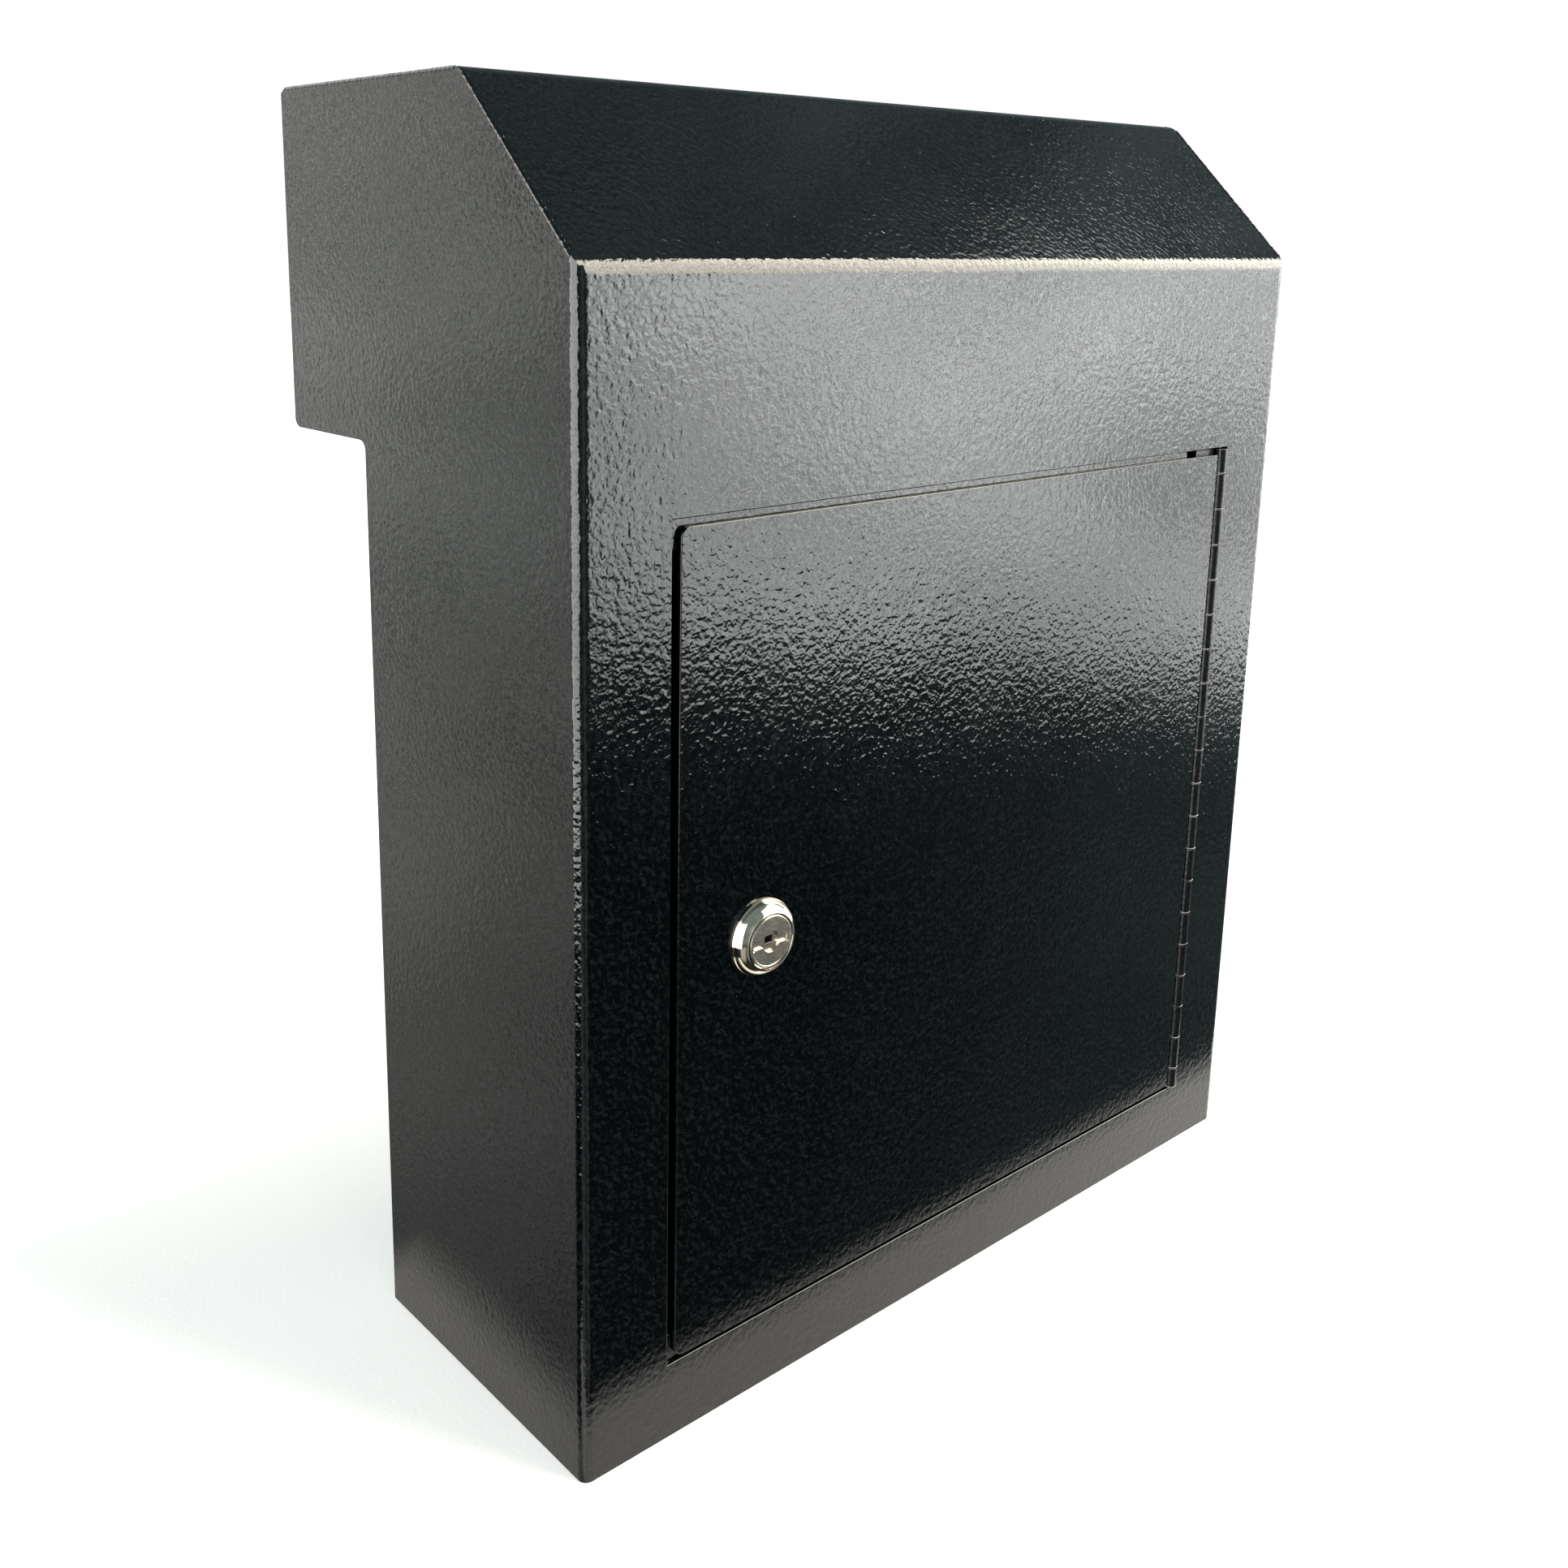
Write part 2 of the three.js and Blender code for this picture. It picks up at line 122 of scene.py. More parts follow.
class Nodes:
    """A node tree with short calls that add a node, join its inputs and return its output."""

    def __init__(self, tree):
        self.tree = tree
        tree.nodes.clear()

    def add(self, kind, inputs=None, **settings):
        node = self.tree.nodes.new(kind)
        for name, value in settings.items():
            setattr(node, name, value)
        for key, value in (inputs or {}).items():
            if isinstance(value, bpy.types.NodeSocket):
                self.tree.links.new(value, node.inputs[key])
            else:
                node.inputs[key].default_value = value
        return node

    def math(self, operation, first, second=0.0, clamp=False):
        inputs = {0: first, 1: second}
        return self.add("ShaderNodeMath", inputs, operation=operation, use_clamp=clamp).outputs[0]

    def noise(self, place, scale, detail=2.0, roughness=0.5, distortion=0.0):
        inputs = {
            "Vector": place, "Scale": scale, "Detail": detail,
            "Roughness": roughness, "Distortion": distortion,
        }
        return self.add("ShaderNodeTexNoise", inputs).outputs["Fac"]

    def stretched(self, place, scale):
        inputs = {"Vector": place, "Scale": scale}
        return self.add("ShaderNodeMapping", inputs).outputs["Vector"]

    def between(self, value, low, high, to_low=0.0, to_high=1.0, smooth=True):
        """value from low..high to to_low..to_high, held at both ends."""
        kind = "SMOOTHSTEP" if smooth else "LINEAR"
        inputs = {0: value, 1: low, 2: high, 3: to_low, 4: to_high}
        return self.add("ShaderNodeMapRange", inputs, interpolation_type=kind).outputs[0]

    def tinted(self, color, amount):
        inputs = {0: color, "Scale": amount}
        return self.add("ShaderNodeVectorMath", inputs, operation="SCALE").outputs["Vector"]

    def added(self, first, second):
        inputs = {0: first, 1: second}
        return self.add("ShaderNodeVectorMath", inputs, operation="ADD").outputs["Vector"]

    def mix(self, factor, first, second):
        node = self.add("ShaderNodeMix", data_type="RGBA")
        for index, value in ((0, factor), (6, first), (7, second)):
            if isinstance(value, bpy.types.NodeSocket):
                self.tree.links.new(value, node.inputs[index])
            else:
                node.inputs[index].default_value = value
        return node.outputs[2]

    def bump(self, height, distance, normal=None):
        inputs = {"Height": height, "Distance": distance, "Strength": 1.0}
        if normal is not None:
            inputs["Normal"] = normal
        return self.add("ShaderNodeBump", inputs).outputs["Normal"]


def new_material(name):
    """A material with its nodes, its surface shader and the place on the object."""
    material = bpy.data.materials.new(name)
    material.use_nodes = True
    nodes = Nodes(material.node_tree)
    surface = nodes.add("ShaderNodeBsdfPrincipled")
    nodes.add("ShaderNodeOutputMaterial", {"Surface": surface.outputs[0]})
    place = nodes.add("ShaderNodeTexCoord").outputs["Object"]
    return material, nodes, surface, place


def join(nodes, surface, **inputs):
    """Joins or sets the surface's inputs; underscores in the names stand for spaces."""
    for name, value in inputs.items():
        socket = surface.inputs[name.replace("_", " ")]
        if isinstance(value, bpy.types.NodeSocket):
            nodes.tree.links.new(value, socket)
        else:
            socket.default_value = value


# ---- Materials ----

def orange_peel(nodes, place):
    """The coat's rounded bumps."""
    return nodes.noise(place, PEEL_CELLS, detail=1.0, roughness=0.4, distortion=0.2)


def coat_height(nodes, place, peel):
    """The peel's height with finer creases in it."""
    crease = nodes.math("SUBTRACT", nodes.noise(place, CREASE_CELLS, detail=1), 0.5)
    creases = nodes.math("ABSOLUTE", crease)
    return nodes.math("ADD", peel, nodes.math("MULTIPLY", creases, 0.7))


def painted_emboss_shading(nodes, place, peel):
    """A painted emboss shading: 1 where the peel rises over a short step aside, on slopes that face one way, to 0.
    """
    step = (0.22 * MM, 0.22 * MM, 0.22 * MM)
    aside = nodes.add("ShaderNodeVectorMath", {0: place, 1: step}).outputs["Vector"]
    rise = nodes.math("SUBTRACT", orange_peel(nodes, aside), peel)
    return nodes.between(rise, -0.04, 0.18)


def powder_coat(name, worn=False, relief=0.095 * MM, gloss=(0.05, 0.09), specular=0.5):
    """Gloss black powder coat: shallow orange peel over a slow wave of the sheet. The peel's
    slopes facing one way get a lighter base colour, a painted emboss shading that shows its grain in the dark."""
    material, nodes, surface, place = new_material(name)
    peel = orange_peel(nodes, place)
    wave = nodes.bump(nodes.noise(place, WAVE_CELLS, detail=0.5), 0.5 * MM)
    normal = nodes.bump(coat_height(nodes, place, peel), relief, wave)
    patches = nodes.noise(place, PATCH_CELLS, detail=3)
    specks = nodes.between(nodes.noise(place, SPECK_CELLS, detail=0), 0.84, 0.88)
    # Painted emboss shading: the peel's slopes facing one way get the lighter colours, which vary in random
    # patches, as if light fell on them from one side.
    lit_slope_tone = nodes.mix(patches, (0.0028, 0.0038, 0.0044, 1), (0.0050, 0.0062, 0.0066, 1))
    black = nodes.mix(painted_emboss_shading(nodes, place, peel), (0.0003, 0.0006, 0.0008, 1), lit_slope_tone)
    color = nodes.mix(specks, black, (0.035, 0.036, 0.038, 1))
    roughness = nodes.between(patches, 0.3, 0.7, *gloss)
    if worn:
        rubbed = nodes.between(nodes.noise(place, 420, detail=3, roughness=0.7), 0.56, 0.66)
        color = nodes.mix(rubbed, black, (0.09, 0.088, 0.085, 1))
        roughness = nodes.between(rubbed, 0, 1, 0.08, 0.3)
    join(nodes, surface, Base_Color=color, Roughness=roughness, Normal=normal)
    surface.inputs["Specular IOR Level"].default_value = specular
    surface.inputs["IOR"].default_value = 1.5
    return material


def knuckle_edge_steel():
    """The ends of the hinge knuckles, where turning has rubbed the coat down to the steel."""
    material, nodes, surface, place = new_material("knuckle_edge_steel")
    rubbed = nodes.between(nodes.noise(place, 300, detail=3, roughness=0.65), 0.36, 0.52)
    color = nodes.mix(rubbed, (0.02, 0.021, 0.022, 1), (0.3, 0.29, 0.28, 1))
    metallic = nodes.between(rubbed, 0, 1, 0, 0.3)
    roughness = nodes.between(rubbed, 0, 1, 0.35, 0.5)
    normal = nodes.bump(nodes.noise(place, 1800, detail=2), 0.03 * MM)
    join(nodes, surface, Base_Color=color, Metallic=metallic, Roughness=roughness, Normal=normal)
    return material


def plated_metal(name, dull, bright, roughness, grain, scratches):
    """A plated or bare metal: tone patches, turned or drawn scratches and a cast grain."""
    material, nodes, surface, place = new_material(name)
    tone = nodes.noise(place, 260, detail=4, roughness=0.6)
    color = nodes.mix(nodes.between(tone, 0.3, 0.7), (*dull, 1), (*bright, 1))
    drawn = nodes.noise(nodes.stretched(place, (1, 1, 14)), 500, detail=3, roughness=0.7)
    pits = nodes.noise(place, 1500, detail=2)
    lines = nodes.math("MULTIPLY", drawn, scratches)
    height = nodes.math("ADD", lines, nodes.math("MULTIPLY", pits, grain))
    normal = nodes.bump(height, 0.02 * MM)
    swing = 0.3 * min(1, scratches * 2)
    spread = nodes.between(drawn, 0.3, 0.7, roughness * (1 - swing), roughness * (1 + swing))
    join(nodes, surface, Base_Color=color, Roughness=spread, Normal=normal, Metallic=1.0)
    return material


def pale_floor():
    """Matt pale paper with a faint mottle."""
    material, nodes, surface, place = new_material("pale_floor")
    mottle = nodes.noise(place, 6, detail=4)
    color = nodes.mix(mottle, (0.84, 0.84, 0.83, 1), (0.87, 0.87, 0.865, 1))
    normal = nodes.bump(nodes.noise(place, 700, detail=3), 0.05 * MM)
    join(nodes, surface, Base_Color=color, Roughness=0.9, Normal=normal)
    surface.inputs["Specular IOR Level"].default_value = 0.1
    return material


COAT = powder_coat("black_powder_coat")
COAT_EDGE = powder_coat("black_powder_coat_edges", worn=True)
COAT_BEND = powder_coat("black_powder_coat_bends", relief=0.18 * MM)
COAT_HINGE = powder_coat(
    "black_powder_coat_hinge", relief=0.12 * MM, gloss=(0.26, 0.34), specular=0.3
)
KNUCKLE_EDGE = knuckle_edge_steel()
BRIGHT_NICKEL = plated_metal(
    "bright_nickel", (0.78, 0.68, 0.54), (0.88, 0.78, 0.64), 0.07, grain=0.1, scratches=0.08
)
SATIN_NICKEL = plated_metal(
    "satin_nickel", (0.44, 0.40, 0.33), (0.62, 0.57, 0.48), 0.27, grain=0.5, scratches=0.1
)
ZINC = plated_metal(
    "zinc_plate", (0.50, 0.52, 0.54), (0.66, 0.67, 0.67), 0.26, grain=0.5, scratches=0.6
)
BRASS = plated_metal(
    "brass", (0.55, 0.40, 0.17), (0.70, 0.54, 0.26), 0.24, grain=0.3, scratches=0.8
)


# ---- Light, floor and backdrop ----

def sky_panel(nodes, way, elevation, panel):
    """One soft panel of the studio, in degrees about the object. centre counts from the front
    towards +X. Its half width grows by lean for each degree of height above its foot, and its
    glow goes from the first value at the foot to the second at full_at."""
    tint, centre, half_width, soft, lean, heights, softs, glows, full_at = panel
    angle = math.radians(centre)
    facing = (math.sin(angle), -math.cos(angle), 0)
    inputs = {0: way, 1: facing}
    aligned = nodes.add("ShaderNodeVectorMath", inputs, operation="DOT_PRODUCT").outputs["Value"]
    low, high = heights
    risen = nodes.math("SUBTRACT", elevation, math.radians(low))
    turned = nodes.math("ARCCOSINE", aligned)
    aside = nodes.math("SUBTRACT", turned, nodes.math("MULTIPLY", risen, lean))
    inner = math.radians(half_width - soft)
    outer = math.radians(half_width + soft)
    across = nodes.between(aside, inner, outer, 1, 0)
    low_soft, high_soft = softs
    rising = nodes.between(elevation, math.radians(low - low_soft), math.radians(low + low_soft))
    top = math.radians(high - high_soft), math.radians(high + high_soft)
    falling = nodes.between(elevation, *top, 1, 0)
    glow = nodes.between(elevation, math.radians(low), math.radians(full_at), *glows, smooth=False)
    window = nodes.math("MULTIPLY", across, nodes.math("MULTIPLY", rising, falling))
    return nodes.tinted(tint, nodes.math("MULTIPLY", window, glow))


COOL = (0.985, 1.0, 0.99)
GREENISH = (1.02, 1.0, 0.93)
WARM = (1.05, 1.0, 0.93)
CREAM = (1.06, 1.0, 0.86)
SILVER = (1.0, 1.0, 0.98)
DEEP = (0.78, 1.0, 1.03)

PANELS = [
    # tint, centre, half width, soft, lean, (foot, top), (soft foot, soft top), glows, full at
    # The window that the front's upper half mirrors, and its brighter middle
    (COOL, 61.2, 26.8, 3, 0.17, (-14.7, 7), (0.6, 3), (2.85, 5.5), 0),
    (COOL, 46.8, 7.7, 7.6, 0, (-14.7, 7), (0.6, 3), (1.3, 2.4), 0),
    # The lamp over the window, mirrored by the bend under the slope
    (CREAM, 52.5, 29.5, 1.5, 0, (7, 52), (3, 4), (9.0, 11.0), 30),
    # Mirrored by the bend at the front's left, and by the left side
    (SILVER, -95, 39, 3, 0, (-21.5, 38), (3, 8), (5.5, 7.0), 0),
    (GREENISH, -166, 31, 7, 0, (-38, 50), (16, 12), (0.32, 1.12), 0),
    # Dim fills round the object
    (COOL, 142, 24, 8, 0, (-55, -10), (10, 4), (0.8, 0.8), 0),
    (DEEP, 86, 30, 14, 0, (-60, -15), (8, 2), (0.22, 0.22), 0),
    (COOL, -8, 13, 9, 0, (-45, 20), (8, 8), (0.35, 0.35), 0),
    (COOL, -48, 17, 6, 0, (-55, -20), (8, 3), (0.4, 0.4), 0),
    # A small lamp to the right, mirrored by the slope's right end
    (COOL, 84, 5.2, 1.4, 0, (35.6, 43), (1.4, 2), (2.3, 1.8), 41),
]


def studio_sky():
    """Soft panels round the object, over a dim room and a darker ground. The camera sees white."""
    world = bpy.data.worlds.new("studio")
    bpy.context.scene.world = world
    world.use_nodes = True
    nodes = Nodes(world.node_tree)
    direction = nodes.add("ShaderNodeTexCoord").outputs["Generated"]
    split = nodes.add("ShaderNodeSeparateXYZ", {0: direction})
    elevation = nodes.math("ARCSINE", split.outputs["Z"])
    level = nodes.add("ShaderNodeCombineXYZ", {0: split.outputs["X"], 1: split.outputs["Y"]})
    flat = {0: level.outputs[0]}
    way = nodes.add("ShaderNodeVectorMath", flat, operation="NORMALIZE").outputs["Vector"]
    room = nodes.between(elevation, math.radians(-22), math.radians(-8), 0.03, 0.24)
    total = nodes.tinted(DEEP, room)
    for panel in PANELS:
        total = nodes.added(total, sky_panel(nodes, way, elevation, panel))
    cloth = nodes.noise(direction, 23, detail=1)
    mottled = nodes.tinted(total, nodes.between(cloth, 0.36, 0.64, 0.5, 1.5, smooth=False))
    lit = nodes.add("ShaderNodeBackground", {"Color": mottled, "Strength": 1.0})
    white = nodes.add("ShaderNodeBackground", {"Color": (1, 1, 1, 1), "Strength": 1.0})
    seen = nodes.add("ShaderNodeLightPath").outputs["Is Camera Ray"]
    shown = nodes.add("ShaderNodeMixShader", {0: seen, 1: lit.outputs[0], 2: white.outputs[0]})
    nodes.add("ShaderNodeOutputWorld", {"Surface": shown.outputs[0]})


def overhead_light():
    """A wide soft light above, which shapes the shadow on the floor."""
    data = bpy.data.lights.new("overhead", "AREA")
    data.shape = "DISK"
    data.size = 1.6
    data.energy = 9
    light = bpy.data.objects.new("overhead", data)
    bpy.context.scene.collection.objects.link(light)
    light.location = (-0.3, -0.5, 1.7)
    aim = Vector((0, 0, 0.2)) - light.location
    light.rotation_euler = aim.to_track_quat("-Z", "Y").to_euler()
    light.visible_glossy = False


def stage_plane(name, half_x, half_y, height, material):
    """A level sheet that stands outside the object."""
    bm = bmesh.new()
    corners = [(-half_x, -half_y), (half_x, -half_y), (half_x, half_y), (-half_x, half_y)]
    bm.faces.new([bm.verts.new((x, y, height)) for x, y in corners])
    mesh = bpy.data.meshes.new(name)
    bm.to_mesh(mesh)
    bm.free()
    mesh.materials.append(material)
    plane = bpy.data.objects.new(name, mesh)
    bpy.context.scene.collection.objects.link(plane)
    return plane


def foot_card_glow():
    """Glows in a band in front of the box's foot and, more dimly, beside and behind it."""
    material = bpy.data.materials.new("foot_card_glow")
    material.use_nodes = True
    nodes = Nodes(material.node_tree)
    place = nodes.add("ShaderNodeTexCoord").outputs["Object"]
    split = nodes.add("ShaderNodeSeparateXYZ", {0: place})
    ahead = nodes.math("SUBTRACT", FRONT, split.outputs["Y"])
    ends = SHELL_LOW.x, SHELL_HIGH.x
    rightward = nodes.between(split.outputs["X"], *ends, 1.2, 1.65, smooth=False)
    in_front = nodes.math("MULTIPLY", nodes.between(ahead, 16 * MM, 33 * MM, 1, 0), rightward)
    beside = nodes.math("SUBTRACT", nodes.math("ABSOLUTE", split.outputs["X"]), SHELL_HIGH.x)
    behind = nodes.math("SUBTRACT", split.outputs["Y"], LOWER_BACK)
    around = nodes.between(nodes.math("MAXIMUM", beside, behind), 6 * MM, 30 * MM, 0.55, 0)
    is_ahead = nodes.math("GREATER_THAN", ahead, 0)
    strength = nodes.between(is_ahead, 0, 1, around, in_front, smooth=False)
    glow = nodes.add("ShaderNodeEmission", {"Color": (*WARM, 1), "Strength": strength})
    clear = nodes.add("ShaderNodeBsdfTransparent")
    both = nodes.add("ShaderNodeAddShader", {0: glow.outputs[0], 1: clear.outputs[0]})
    nodes.add("ShaderNodeOutputMaterial", {"Surface": both.outputs[0]})
    return material


def stage():
    """The floor, which mirrors don't see, and a card that only mirrors see."""
    floor = stage_plane("floor", 6, 6, -0.3 * MM, pale_floor())
    floor.visible_glossy = False
    reach = 70 * MM
    half_sizes = SHELL_HIGH.x + reach, SHELL_HIGH.y + reach
    card = stage_plane("foot_card", *half_sizes, -0.15 * MM, foot_card_glow())
    card.visible_camera = False
    card.visible_diffuse = False
    card.visible_shadow = False
    card.visible_transmission = False


# ---- Mesh building ----

def finished(bm, name, body, materials, smooth_below=38, nodes=()):
    """Makes the mesh a piece that rides on a body and stands for the CAD nodes named."""
    bmesh.ops.recalc_face_normals(bm, faces=bm.faces)
    mesh = bpy.data.meshes.new(name)
    bm.to_mesh(mesh)
    bm.free()
    for material in materials:
        mesh.materials.append(material)
    mesh.shade_smooth()
    mesh.set_sharp_from_angle(angle=math.radians(smooth_below))
    piece = bpy.data.objects.new(name, mesh)
    bpy.context.scene.collection.objects.link(piece)
    weighted = piece.modifiers.new("weighted_normals", "WEIGHTED_NORMAL")
    weighted.keep_sharp = True
    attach(piece, body)
    if nodes:
        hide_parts(*nodes)
    return piece


def soften(bm, width, above=30, segments=2, material=-1, only=None, clamped=True):
    """Rounds the edges whose faces meet at more than an angle in degrees."""
    bm.normal_update()
    sharp = [
        edge for edge in bm.edges
        if edge.is_manifold and edge.calc_face_angle() > math.radians(above)
        and (only is None or only(edge))
    ]
    if sharp:
        bmesh.ops.bevel(
            bm, geom=sharp, offset=width, offset_type="OFFSET", segments=segments,
            profile=0.5, affect="EDGES", clamp_overlap=clamped, material=material,
        )


def from_cad(node):
    """The CAD node's solid with its flat faces whole again."""
    bm = bmesh.new()
    bm.from_mesh(frame["nodes"][node].data)
    bmesh.ops.remove_doubles(bm, verts=bm.verts, dist=2e-6)
    bmesh.ops.dissolve_limit(
        bm, angle_limit=math.radians(0.4), verts=bm.verts, edges=bm.edges,
    )
    for face in bm.faces:
        face.material_index = 0
    return bm


def refined(node, slot, material, edge_material, width):
    """The CAD node's own shape with softened edges."""
    bm = from_cad(node)
    soften(bm, width, material=1)
    return finished(
        bm, node + "_finish", BODY_OF[node], (material, edge_material), nodes=[node]
    )


def prism(bm, outline, place, low, high):
    """A closed prism over a flat outline; place maps (u, v, along) to the row frame."""
    ends = [[bm.verts.new(place(u, v, at)) for u, v in outline] for at in (low, high)]
    count = len(outline)
    for i in range(count):
        j = (i + 1) % count
        bm.faces.new((ends[0][i], ends[0][j], ends[1][j], ends[1][i]))
    bm.faces.new(ends[0])
    bm.faces.new(list(reversed(ends[1])))


def revolved(bm, profile, place, steps=72, closed=False, shape=None):
    """Turns (radius, along) points about an axis. shape may change a point's (u, v)."""
    rings = []
    for radius, along in profile:
        if radius == 0:
            rings.append([bm.verts.new(place(0, 0, along))])
            continue
        ring = []
        for i in range(steps):
            angle = 2 * math.pi * i / steps
            u, v = radius * math.cos(angle), radius * math.sin(angle)
            if shape is not None:
                u, v = shape(radius, along, angle)
            ring.append(bm.verts.new(place(u, v, along)))
        rings.append(ring)
    pairs = list(zip(rings, rings[1:]))
    if closed:
        pairs.append((rings[-1], rings[0]))
    for first, second in pairs:
        for i in range(steps):
            j = (i + 1) % steps
            corners = [first[i % len(first)], first[j % len(first)],
                       second[j % len(second)], second[i % len(second)]]
            unique = list(dict.fromkeys(corners))
            if len(unique) > 2:
                bm.faces.new(unique)


def arc(radius, start, end, steps):
    """Points of an arc about the origin, angles in degrees."""
    angles = [math.radians(start + (end - start) * i / steps) for i in range(steps + 1)]
    return [(radius * math.cos(a), radius * math.sin(a)) for a in angles]


def rectangle(u0, u1, v0, v1):
    return [(u0, v0), (u1, v0), (u1, v1), (u0, v1)]


def carved(bm, cutters, operation="DIFFERENCE"):
    """The mesh after boolean cuts by other meshes."""
    scene = bpy.context.scene
    meshes = []
    objects = []
    for index, part in enumerate([bm, *cutters]):
        bmesh.ops.recalc_face_normals(part, faces=part.faces)
        mesh = bpy.data.meshes.new(f"carving_{index}")
        part.to_mesh(mesh)
        part.free()
        shape = bpy.data.objects.new(f"carving_{index}", mesh)
        scene.collection.objects.link(shape)
        meshes.append(mesh)
        objects.append(shape)
    for cutter in objects[1:]:
        boolean = objects[0].modifiers.new("cut", "BOOLEAN")
        boolean.operation = operation
        boolean.solver = "EXACT"
        boolean.object = cutter
    evaluated = objects[0].evaluated_get(bpy.context.evaluated_depsgraph_get())
    result = bmesh.new()
    result.from_mesh(evaluated.to_mesh())
    evaluated.to_mesh_clear()
    for shape, mesh in zip(objects, meshes):
        bpy.data.objects.remove(shape)
        bpy.data.meshes.remove(mesh)
    bmesh.ops.remove_doubles(result, verts=result.verts, dist=2e-6)
    return result


# ---- Cabinet ----

def is_hood_side_edge(edge):
    """The corner edges between the sides and the slope or the top."""
    outermost = SHELL_HIGH.x - 0.05 * MM
    on_side = all(abs(vertex.co.x) > outermost for vertex in edge.verts)
    rising = any(face.normal.z > 0.5 for face in edge.link_faces)
    return on_side and rising


def is_doorway_rim(edge):
    """The outer edges of the opening the door closes."""
    on_front = all(abs(vertex.co.y - FRONT) < 0.05 * MM for vertex in edge.verts)
    inside = all(
        abs(vertex.co.x) < SHELL_HIGH.x - 20 * MM and 20 * MM < vertex.co.z < SLOPE_BASE - 20 * MM
        for vertex in edge.verts
    )
    return on_front and inside


def is_on_bend(face):
    """The coat gathers on the bends, whose faces turn away from the flat sides of the sheet."""
    slope = Vector((0, SLOPE_BASE - SHELL_HIGH.z, SLOPE_TOP_DEPTH)).normalized()
    sides = (Vector((1, 0, 0)), Vector((0, 1, 0)), Vector((0, 0, 1)), slope)
    return all(abs(face.normal.dot(side)) < math.cos(math.radians(2)) for side in sides)


def cut_beside_bends(bm):
    """Splits the flat faces just past each bend, which keeps the bends' smooth shading in them."""
    past = 3.4 * MM
    run = Vector((0, SLOPE_TOP_DEPTH, SHELL_HIGH.z - SLOPE_BASE))
    along = run.normalized()
    foot = Vector((0, FRONT, SLOPE_BASE))
    planes = [
        (Vector((SHELL_HIGH.x - past, 0, 0)), Vector((1, 0, 0))),
        (Vector((past - SHELL_HIGH.x, 0, 0)), Vector((1, 0, 0))),
        (foot - Vector((0, 0, past)), Vector((0, 0, 1))),
        (Vector((0, FRONT + past, 0)), Vector((0, 1, 0))),
        (foot + along * past, along),
        (foot + run - along * past, along),
        (foot + run + Vector((0, past, 0)), Vector((0, 1, 0))),
    ]
    for point, normal in planes:
        geometry = bm.verts[:] + bm.edges[:] + bm.faces[:]
        bmesh.ops.bisect_plane(bm, geom=geometry, dist=1e-6, plane_co=point, plane_no=normal)


def cabinet_shell():
    """The folded sheet: a crisp doorway, rounded welded corners and worn edges elsewhere."""
    bm = from_cad("body_shell")
    cut_beside_bends(bm)
    for face in bm.faces:
        if is_on_bend(face):
            face.material_index = 2
    soften(bm, 0.32 * MM, above=60, segments=3, only=is_doorway_rim, clamped=False)
    soften(bm, 0.8 * MM, above=60, segments=4, material=2, only=is_hood_side_edge, clamped=False)
    soften(bm, 0.3 * MM, above=40, material=1)
    finished(
        bm, "body_shell_finish", "cabinet", (COAT, COAT_EDGE, COAT_BEND),
        nodes=["body_shell"],
    )


def weld_bead(name, start, end, outward, width, height, pitch=2.2 * MM, roughness=1.0, seed=0.0):
    """A low rippled bead of weld, ground down and coated, along a straight seam."""
    bm = bmesh.new()
    sides = 10
    step = 0.45 * MM
    along = (end - start).normalized()
    across = along.cross(outward).normalized()
    count = max(2, round((end - start).length / step))
    rings = []
    for i in range(count + 1):
        centre = start.lerp(end, i / count)
        ripple = 0.5 + 0.5 * math.cos(2 * math.pi * i * step / pitch)
        rough = roughness * noise.noise(centre * 700 + Vector((seed, 0, 0)))
        half = width / 2 * (0.86 + 0.14 * ripple + 0.16 * rough)
        rise = height * (0.7 + 0.3 * ripple + 0.35 * rough)
        ring = []
        for k in range(sides):
            angle = 2 * math.pi * k / sides
            up = max(math.sin(angle), -0.5) * rise
            ring.append(bm.verts.new(centre + across * math.cos(angle) * half + outward * up))
        rings.append(ring)
    for first, second in zip(rings, rings[1:]):
        for k in range(sides):
            j = (k + 1) % sides
            bm.faces.new((first[k], first[j], second[j], second[k]))
    bm.faces.new(rings[0])
    bm.faces.new(list(reversed(rings[-1])))
    finished(bm, name, "cabinet", (COAT,), smooth_below=70)


def hood_welds(side, label):
    """The ground welds along a side's top corner: down the slope, and back along the top."""
    bend = 2.4 * MM
    inset = 0.28 * MM
    top = SHELL_HIGH.z
    corner = side * (SHELL_HIGH.x - inset)
    foot = Vector((corner, FRONT + bend + 0.19 * MM, SLOPE_BASE + bend * SLOPE_RISE - 0.19 * MM))
    ridge = Vector((corner, FRONT + SLOPE_TOP_DEPTH - 1.5 * MM, top - 1.75 * MM))
    weld_bead(
        f"slope_weld_{label}", foot, ridge, Vector((side, -0.7, 0.72)).normalized(),
        1.5 * MM, 0.34 * MM, pitch=1.3 * MM, roughness=2.2, seed=side,
    )
    start = Vector((corner, FRONT + SLOPE_TOP_DEPTH + 2.6 * MM, top - inset))
    back = Vector((corner, SHELL_HIGH.y - 2 * MM, top - inset))
    weld_bead(
        f"top_weld_{label}", start, back, Vector((side, 0, 1)).normalized(),
        1.4 * MM, 0.2 * MM, seed=side + 3,
    )


